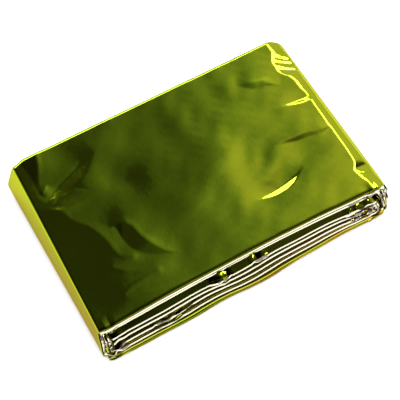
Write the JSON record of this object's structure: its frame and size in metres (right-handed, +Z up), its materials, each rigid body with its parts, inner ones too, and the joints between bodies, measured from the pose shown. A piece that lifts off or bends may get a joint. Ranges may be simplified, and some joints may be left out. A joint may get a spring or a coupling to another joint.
{
  "type": "emergency foil blanket, folded packet",
  "caption": "Foil blanket of thin metallised film, folded back and forth and wound flat into a slim packet with its ply edges along the front.",
  "frame": {"origin": "middle of the packet's footprint, on the surface that it lies on", "axes": "+X along the packet's length, towards the rounded wound end; +Y towards the folded back edge, away from the front where the ply edges show; +Z up"},
  "size_m": [0.1424, 0.093, 0.0212],
  "materials": {
    "gold_film": "metallised polyester film, mirror bright, greenish gold"
  },
  "bodies": {
    "root": {"foil_blanket": "gold_film"}
  },
  "joints": []
}
